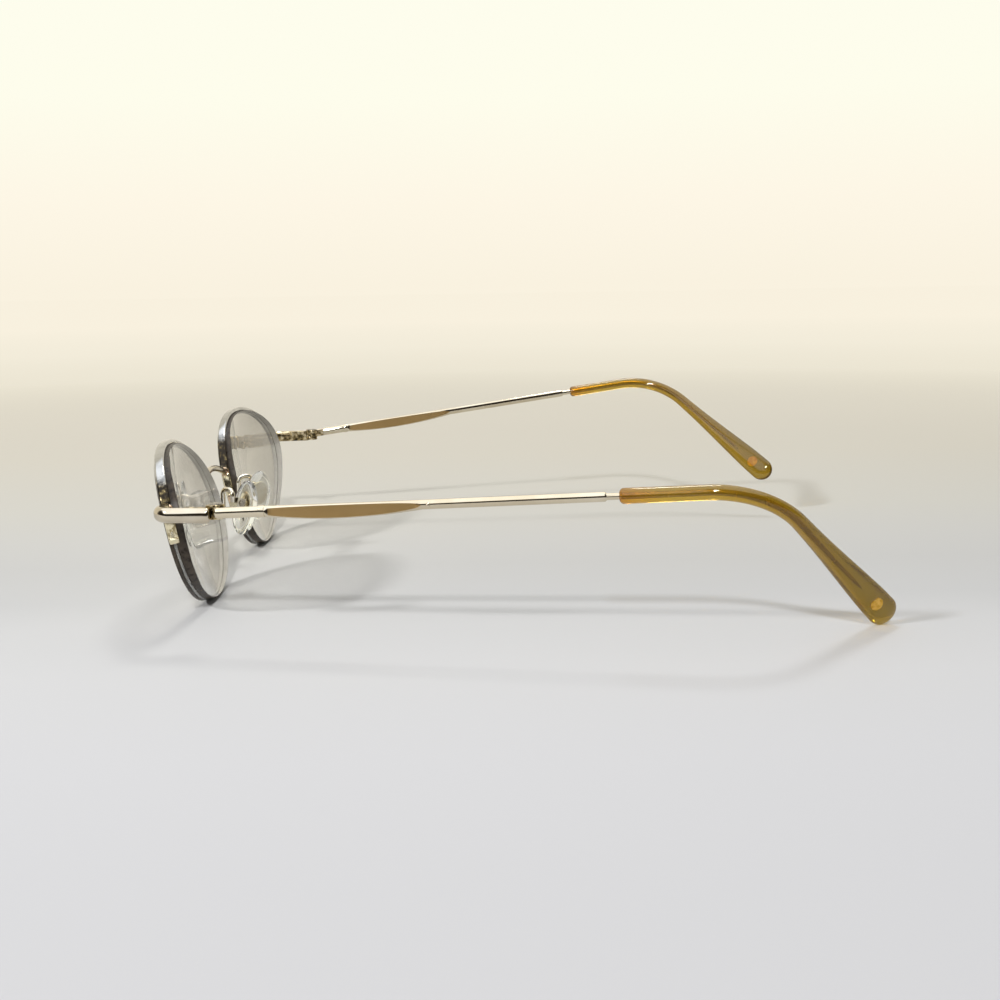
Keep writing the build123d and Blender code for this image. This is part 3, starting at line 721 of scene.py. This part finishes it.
for side in ("left", "right"):
    flip = side == "right"
    bar = mesh_object(f"{side}_end_bar", end_points, end_faces, [end_metal, hinge_metal],
                      "front", flip, indices=end_looks)
    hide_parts(f"{side}_endpiece")
    mesh_object(f"{side}_solder", solder_points, solder_faces, [solder_metal],
                "front", flip)

# ---------- temples and their tips ----------

LEAF_START, LEAF_MIDDLE, LEAF_END, LEAF_FLAT, LEAF_STEPS = 10.0, 23.0, 39.0, 1.3, 40
NECK_LENGTH, NECK_WIDTH = 2.4, 1.2
# thickness, height and how far the middle hangs below the bar's line
BAR_SECTIONS = {LEAF_START: (1.5, 2.0, 0.0), LEAF_MIDDLE: (2.2, 2.75, 0.45), LEAF_END: (1.3, 1.75, 0.0)}
COLLAR_LENGTH, COLLAR_PROUD, COLLAR_EDGE = 1.1, 0.12, 0.02
# distance along and share of the full size: the bar's rounded end, and the collar's rise and fall
END_ROUND = ((0, 0.75), (0.08, 0.88), (0.25, 0.97), (0.5, 1))
COLLAR_RISE = (
    (0, 0), (COLLAR_EDGE, 0.8), (COLLAR_PROUD, 1), (COLLAR_LENGTH - COLLAR_PROUD, 1),
    (COLLAR_LENGTH - COLLAR_EDGE, 0.8), (COLLAR_LENGTH, 0),
)
BEAD_RADIUS, BEAD_PAST_LEAF, BEAD_SIDE = 0.42, 1.2, -0.65
CORE_RADIUS, CORE_END_RADIUS, CORE_SHORT = 0.42, 0.3, 10.6
CORE_POINT, CORE_POINT_SHARE, CORE_STEPS = 2.2, 0.2, 60
ARC_STEPS, BAR_CREASE = 24, 14.0


def bar_size(x):
    """Thickness, height and drop of the bar at a station."""
    if x <= LEAF_START:
        return BAR_SECTIONS[LEAF_START]
    if x >= LEAF_END:
        return BAR_SECTIONS[LEAF_END]
    sizes = []
    for k in range(3):
        a, b, c = (BAR_SECTIONS[at][k] for at in (LEAF_START, LEAF_MIDDLE, LEAF_END))
        sizes.append(
            a * (x - LEAF_MIDDLE) * (x - LEAF_END) / ((LEAF_START - LEAF_MIDDLE) * (LEAF_START - LEAF_END))
            + b * (x - LEAF_START) * (x - LEAF_END) / ((LEAF_MIDDLE - LEAF_START) * (LEAF_MIDDLE - LEAF_END))
            + c * (x - LEAF_START) * (x - LEAF_MIDDLE) / ((LEAF_END - LEAF_START) * (LEAF_END - LEAF_MIDDLE))
        )
    return sizes


def bar_section(thick, high, flat):
    """Round section with its two sides cut flat: the top arc, then the bottom one."""
    a, b, c = thick / 2, high / 2, flat / 2
    from_turn = acos((c / a) ** (BAR_POWER / 2)) if a > c else 0
    pairs = []
    for turn_start in (from_turn, pi + from_turn):
        for step in range(ARC_STEPS + 1):
            turn = turn_start + (pi - 2 * from_turn) * step / ARC_STEPS
            x, z = cos(turn), sin(turn)
            across, rise = abs(x) ** (2 / BAR_POWER), abs(z) ** (2 / BAR_POWER)
            pairs.append((a * (across if x > 0 else -across), b * (rise if z > 0 else -rise)))
    return pairs


def bar_stations():
    """Stations along the bar with thickness, height and drop: rounded end, collar, leaf and neck."""
    thick, high, _ = BAR_SECTIONS[LEAF_START]
    rows = [(HINGE_GAP / 2 + at, thick * size, high * size, 0.0) for at, size in END_ROUND]
    for at, share in COLLAR_RISE:
        proud = 2 * COLLAR_PROUD * share
        rows.append((LEAF_START - COLLAR_LENGTH + at, thick + proud, high + proud, 0.0))
    for step in range(1, LEAF_STEPS + 1):
        x = LEAF_START + (LEAF_END - LEAF_START) * step / LEAF_STEPS
        rows.append((x, *bar_size(x)))
    neck = BAR_LENGTH - NECK_LENGTH
    rows += [(neck - 0.1, 1.3, 1.75, 0.0), (neck, 1.25, 1.66, 0.0), (neck + 0.12, NECK_WIDTH, 1.35, 0.0),
             (neck + 0.3, NECK_WIDTH, NECK_WIDTH, 0.0), (BAR_LENGTH + 0.5, NECK_WIDTH, NECK_WIDTH, 0.0)]
    return rows


TIP_START_WIDTH, TIP_NECK_WIDTH, TIP_PADDLE_WIDTH, TIP_PADDLE_THICKNESS = 2.85, 2.74, 5.93, 2.45
TIP_START_ROUND, TIP_END_RADIUS = 1.0, 3.18
DOT_RADIUS, DOT_BACK, DOT_PROUD, DOT_SIDES = 1.3, 3.3, 0.04, 32
# share of the radius and lift of each ring, from the disc's sunk side to near its middle
DOT_RINGS = ((1.0, -0.3), (1.0, -0.03), (0.97, 0), (0.6, 0), (0.3, 0))
# share along the tip, and its swell: 0 is the start's width, 1 the neck's, 2 the paddle's
TIP_SHARES = (
    (0.03, 0.25), (0.05, 0.4), (0.12, 0.85), (0.25, 1.0), (0.36, 1.01), (0.44, 1.04), (0.52, 1.1), (0.6, 1.2),
    (0.68, 1.35), (0.77, 1.56), (0.86, 1.78), (0.94, 1.95), (1.0, 2.0),
)
# rounded ends, as shares of the way from the full section to the point
START_CAPS = (0.8, 0.7, 0.6, 0.47, 0.35, 0.15)
END_CAPS = (0.12, 0.24, 0.35, 0.48, 0.6, 0.71, 0.8, 0.88, 0.94, 0.98)
TIP_SIDES, TIP_STEPS, TIP_FIRST_STEP = 40, 100, 3

for side, pitch in PITCH.items():
    flip = side == "right"
    x_way = Vector((sin(SPLAY) * cos(pitch), cos(SPLAY) * cos(pitch), sin(pitch)))
    z_way = Vector((-sin(SPLAY) * sin(pitch), -cos(SPLAY) * sin(pitch), cos(pitch)))
    y_way = z_way.cross(x_way)

    def at_temple(x, y, z):
        return HINGE + x_way * x + y_way * y + z_way * z

    down = (0, sin(TIP_INWARD), -cos(TIP_INWARD))
    fall = (x_way * cos(TIP_ANGLE) + (y_way * down[1] + z_way * down[2]) * sin(TIP_ANGLE)).normalized()
    start, corner = at_temple(BAR_LENGTH, 0, 0), at_temple(BAR_LENGTH + TIP_STRAIGHT, 0, 0)
    outwards = fall.cross(x_way).normalized()
    tangent = TIP_BEND * sin(TIP_ANGLE / 2) / cos(TIP_ANGLE / 2)
    straight, arc = TIP_STRAIGHT - tangent, TIP_BEND * TIP_ANGLE
    whole = straight + arc + TIP_DROP - tangent
    toward = x_way.cross(outwards).normalized()

    def along_tip(share):
        """Place and direction on the tip's centre line."""
        run = share * whole
        if run <= straight:
            return start + x_way * run, x_way
        if run <= straight + arc:
            angle = (run - straight) / TIP_BEND
            centre = start + x_way * straight + toward * TIP_BEND
            way = x_way * cos(angle) + toward * sin(angle)
            return centre + x_way * TIP_BEND * sin(angle) - toward * TIP_BEND * cos(angle), way
        return corner + fall * (tangent + run - straight - arc), fall

    def swell_at(share):
        """The swell between the given shares, eased through them."""
        for i in range(len(TIP_SHARES) - 1):
            (a, low), (b, high) = TIP_SHARES[i], TIP_SHARES[i + 1]
            if share <= b:
                before = TIP_SHARES[max(i - 1, 0)]
                after = TIP_SHARES[min(i + 2, len(TIP_SHARES) - 1)]
                t = max(0, (share - a) / (b - a))
                slope_low = (high - before[1]) / (b - before[0]) * (b - a)
                slope_high = (after[1] - low) / (after[0] - a) * (b - a)
                return (
                    (2 * t**3 - 3 * t**2 + 1) * low + (t**3 - 2 * t**2 + t) * slope_low
                    + (3 * t**2 - 2 * t**3) * high + (t**3 - t**2) * slope_high
                )
        return TIP_SHARES[-1][1]

    sections = []
    for cap in START_CAPS:
        share, size = TIP_START_ROUND * (START_CAPS[0] - cap) / whole, sqrt(1 - cap * cap)
        sections.append((*along_tip(share), TIP_START_WIDTH * size, TIP_START_WIDTH * size, 0))
    for step in range(TIP_FIRST_STEP, TIP_STEPS + 1):
        swell = swell_at(step / TIP_STEPS)
        wide = TIP_START_WIDTH + (TIP_NECK_WIDTH - TIP_START_WIDTH) * min(swell, 1)
        thick = wide + (TIP_PADDLE_THICKNESS - TIP_NECK_WIDTH) * max(swell - 1, 0)
        wide += (TIP_PADDLE_WIDTH - TIP_NECK_WIDTH) * max(swell - 1, 0)
        sections.append((*along_tip(step / TIP_STEPS), thick, wide, max(swell - 1, 0)))
    for cap in END_CAPS:
        size = sqrt(1 - cap * cap)
        place = along_tip(1)[0] + fall * TIP_END_RADIUS * cap
        sections.append((place, fall, TIP_PADDLE_THICKNESS * size, TIP_PADDLE_WIDTH * size, 1))
    tip_points = []
    for place, way, thick, wide, turned in sections:
        facing = outwards * cos(TIP_TWIST * turned) - way.cross(outwards) * sin(TIP_TWIST * turned)
        broad = way.cross(facing)
        for k in range(TIP_SIDES):
            angle = 2 * pi * k / TIP_SIDES
            out, over = facing * (thick / 2 * cos(angle)), broad * (wide / 2 * sin(angle))
            tip_points.append(placed(place + out + over))
    sleeve = mesh_object(f"{side}_tip_sleeve", tip_points, tube_faces(len(sections), TIP_SIDES), [tip],
                         f"{side}_temple_arm", flip)
    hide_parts(f"{side}_temple_tip")

    # the disc inlaid in the outer face, near the end
    dot_middle = along_tip(1)[0] - fall * DOT_BACK
    dot_points = []
    for share, lift in DOT_RINGS:
        for k in range(DOT_SIDES):
            angle = 2 * pi * k / DOT_SIDES
            x, y = DOT_RADIUS * share * cos(angle), DOT_RADIUS * share * sin(angle)
            rise = TIP_PADDLE_THICKNESS / 2 * sqrt(1 - (2 * y / TIP_PADDLE_WIDTH) ** 2) + DOT_PROUD + lift
            dot_points.append(placed(dot_middle + fall * x + broad * y + facing * rise))
    dot = mesh_object(f"{side}_tip_disc", dot_points, tube_faces(len(DOT_RINGS), DOT_SIDES), [dot_metal],
                      f"{side}_temple_arm", flip)
    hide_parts(f"{side}_tip_dot")

    # the bar, its bead, and the core wire that runs on inside the tip
    rows = bar_stations()
    bar_points, bar_looks = [], []
    count = 2 * (ARC_STEPS + 1)
    for x, thick, high, lowered in rows:
        pairs = bar_section(thick, high, LEAF_FLAT if LEAF_START < x < LEAF_END else 2 * thick)
        bar_points += [placed(at_temple(x, y, z - lowered)) for y, z in pairs]
    for (x, thick, _, _), (_, more_thick, _, _) in zip(rows, rows[1:]):
        leaf = LEAF_START < x < LEAF_END and max(thick, more_thick) > LEAF_FLAT
        bar_looks += [1 if leaf and j in (ARC_STEPS, count - 1) else 0 for j in range(count)]
    bar_looks += [0, 0]
    core_end = whole - CORE_SHORT
    core_line, core_sizes = [], []
    for step in range(CORE_STEPS + 1):
        share = step / CORE_STEPS
        core_line.append(placed(along_tip(core_end * share / whole)[0]))
        core_sizes.append(CORE_RADIUS + (CORE_END_RADIUS - CORE_RADIUS) * share)
    core_line.append(placed(along_tip((core_end + CORE_POINT) / whole)[0]))
    core_sizes.append(CORE_POINT_SHARE * CORE_END_RADIUS)
    bead_at = at_temple(LEAF_END + BEAD_PAST_LEAF, BEAD_SIDE, 0)
    points, faces, looks = joined([
        (bar_points, tube_faces(len(rows), count), bar_looks),
        (*blob(bead_at, x_way, y_way, z_way, (BEAD_RADIUS,) * 3), 0),
        (*tube(core_line, core_sizes), 2),
    ])
    bar = mesh_object(f"{side}_temple_bar", points, faces, [temple_metal, leaf_metal, core_metal],
                      f"{side}_temple_arm", flip, BAR_CREASE, looks)
    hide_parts(f"{side}_temple")

# ---------- floor, light and camera ----------

camera_data = bpy.data.cameras.new("camera")
camera_data.lens = 48.38
camera_data.sensor_width = 36.0
camera_data.clip_start = 0.005
camera = bpy.data.objects.new("camera", camera_data)
bpy.context.scene.collection.objects.link(camera)
CAMERA_AT = (0.30557, -0.002435, 0.064235)
right, up = Vector((0.0005, 0.9999, -0.0159)), Vector((-0.1598, 0.0158, 0.987))
ahead = Vector((-0.9872, -0.002, -0.1597))
camera.matrix_world = Matrix.Translation(CAMERA_AT) @ Matrix((right, up, -ahead)).transposed().to_4x4()
bpy.context.scene.camera = camera


def lamp(name, way, distance, size, power, colour=(1, 1, 1)):
    """A soft square lamp that looks at the glasses from a direction."""
    data = bpy.data.lights.new(name, "AREA")
    data.size = size
    data.energy = power
    data.color = colour
    made = bpy.data.objects.new(name, data)
    bpy.context.scene.collection.objects.link(made)
    made.location = Vector(way).normalized() * distance
    made.rotation_euler = (-Vector(way)).to_track_quat("-Z", "Y").to_euler()
    return made


LAMP_DISTANCE = 1.2
lamp("key", (1.5, 0.0, 1.0), LAMP_DISTANCE, 0.07, 6.2)
lamp("side", (1.0, -1.3, 1.0), LAMP_DISTANCE, 0.09, 6.8)
lamp("top", (-0.52, 0.1, 1.0), LAMP_DISTANCE, 0.24, 2.9, (1.0, 0.99, 0.95))


def plateau(tree, value, start, full, fading, end):
    """1 from full to fading, and down to 0 at start and at end."""
    rise, fall = span(tree, value, start, full, 0.0, 1.0), span(tree, value, fading, end, 1.0, 0.0)
    return sums(tree, "MULTIPLY", rise, fall)


# the room: an even level for matt surfaces; metal sees dark walls on the camera's side, a window in them,
# a pale ceiling and the cream backdrop opposite
EVEN_LEVEL, WINDOW_LIGHT = (0.225, 0.225, 0.22), (1.6, 1.65, 1.72)
world = bpy.data.worlds.new("world")
bpy.context.scene.world = world
world.use_nodes = True
tree = world.node_tree
background = tree.nodes["Background"]
split = tree.nodes.new("ShaderNodeSeparateXYZ")
tree.links.new(tree.nodes.new("ShaderNodeTexCoord").outputs["Generated"], split.inputs["Vector"])
way_x, way_y, way_z = split.outputs
walls = ramp(tree, span(tree, way_x, -1, 1, 0.0, 1.0), [
    (0.0, (0.90, 0.84, 0.70)), (0.40, (0.86, 0.82, 0.70)), (0.50, (0.10, 0.09, 0.08)),
    (0.62, (0.03, 0.025, 0.02)),
])
window = sums(tree, "MULTIPLY", plateau(tree, way_z, 0.20, 0.30, 0.85, 0.92),
              plateau(tree, way_y, -0.82, -0.72, -0.20, -0.10))
window = sums(tree, "MULTIPLY", window, span(tree, way_x, 0.1, 0.22, 0.0, 1.0))
high, near = span(tree, way_z, 0.66, 0.74, 0.0, 1.0), span(tree, way_x, 0.50, 0.60, 1.0, 0.0)
light = sums(tree, "MAXIMUM", window, sums(tree, "MULTIPLY", high, near))
room = blend_colours(tree, light, walls, WINDOW_LIGHT)
backdrop = ramp(tree, way_z, [
    (0.0, (0.95, 0.885, 0.745)), (0.06, (0.985, 0.925, 0.79)), (0.13, (0.99, 0.98, 0.84)),
    (0.25, (0.99, 0.985, 0.86)),
])
path = tree.nodes.new("ShaderNodeLightPath")
seen = sums(tree, "MAXIMUM", path.outputs["Is Camera Ray"], path.outputs["Is Transmission Ray"])
lit = blend_colours(tree, path.outputs["Is Glossy Ray"], EVEN_LEVEL, room)
tree.links.new(blend_colours(tree, seen, lit, backdrop), background.inputs["Color"])

# floor: pale paper, cool where the glasses stand, running into the backdrop's cream further off, with painted
# shade in its tone, and dark to metal on the camera's side
FLOOR_REACH, FLOOR_SUNK = 8.0, 2e-5
floor_mesh = bpy.data.meshes.new("floor")
corners = [(-FLOOR_REACH, -FLOOR_REACH, 0), (FLOOR_REACH, -FLOOR_REACH, 0), (FLOOR_REACH, FLOOR_REACH, 0),
           (-FLOOR_REACH, FLOOR_REACH, 0)]
floor_mesh.from_pydata(corners, [], [(0, 1, 2, 3)])
floor_material, tree, shader = build("floor", (0.74, 0.74, 0.74), Roughness=0.7)
where = tree.nodes.new("ShaderNodeTexCoord").outputs["Object"]
split = tree.nodes.new("ShaderNodeSeparateXYZ")
tree.links.new(where, split.inputs["Vector"])
back = span(tree, split.outputs["X"], 0.2, -0.6, 0.0, 1.0)
# painted shade in the tone: darker toward the camera, and a darker band under the middle of the glasses (X
# from 0.035 to -0.03 m)
tone = ramp(tree, back, [
    (0.0, (0.645, 0.645, 0.665)), (0.0375, (0.665, 0.665, 0.685)), (0.0875, (0.70, 0.70, 0.72)),
    (0.1375, (0.72, 0.72, 0.73)), (0.181, (0.695, 0.695, 0.70)), (0.206, (0.645, 0.645, 0.645)),
    (0.25, (0.645, 0.64, 0.625)), (0.2875, (0.68, 0.67, 0.64)),
    (0.35, (0.73, 0.71, 0.645)), (0.5, (0.81, 0.765, 0.66)), (0.6875, (0.88, 0.825, 0.705)),
    (1.0, (0.94, 0.875, 0.735)),
])
tree.links.new(tone, shader.inputs["Base Color"])
far = tree.nodes.new("ShaderNodeVectorMath")
far.operation = "LENGTH"
tree.links.new(where, far.inputs[0])
glow = tree.nodes.new("ShaderNodeEmission")
glow_tone = ramp(tree, span(tree, far.outputs["Value"], 0.2, 2.0, 0.0, 1.0), [
    (0.0, (0.72, 0.68, 0.58)), (0.22, (0.82, 0.77, 0.64)), (0.5, (0.89, 0.835, 0.70)),
    (1.0, (0.94, 0.875, 0.735)),
])
tree.links.new(glow_tone, glow.inputs["Color"])
blend = tree.nodes.new("ShaderNodeMixShader")
tree.links.new(span(tree, far.outputs["Value"], 0.25, 0.7, 0.0, 1.0), blend.inputs["Fac"])
tree.links.new(shader.outputs["BSDF"], blend.inputs[1])
tree.links.new(glow.outputs["Emission"], blend.inputs[2])
dim = tree.nodes.new("ShaderNodeEmission")
dim.inputs["Color"].default_value = (0.035, 0.03, 0.025, 1)
path = tree.nodes.new("ShaderNodeLightPath")
near = span(tree, split.outputs["X"], 0.16, 0.30, 0.0, 1.0)
shade = sums(tree, "MULTIPLY", path.outputs["Is Glossy Ray"], near)
last_mix = tree.nodes.new("ShaderNodeMixShader")
tree.links.new(shade, last_mix.inputs["Fac"])
tree.links.new(blend.outputs["Shader"], last_mix.inputs[1])
tree.links.new(dim.outputs["Emission"], last_mix.inputs[2])
tree.links.new(last_mix.outputs["Shader"], tree.nodes["Material Output"].inputs["Surface"])
floor_mesh.materials.append(floor_material)
floor = bpy.data.objects.new("floor", floor_mesh)
floor.location.z = -FLOOR_SUNK
bpy.context.scene.collection.objects.link(floor)

bpy.context.scene.view_settings.view_transform = "Standard"
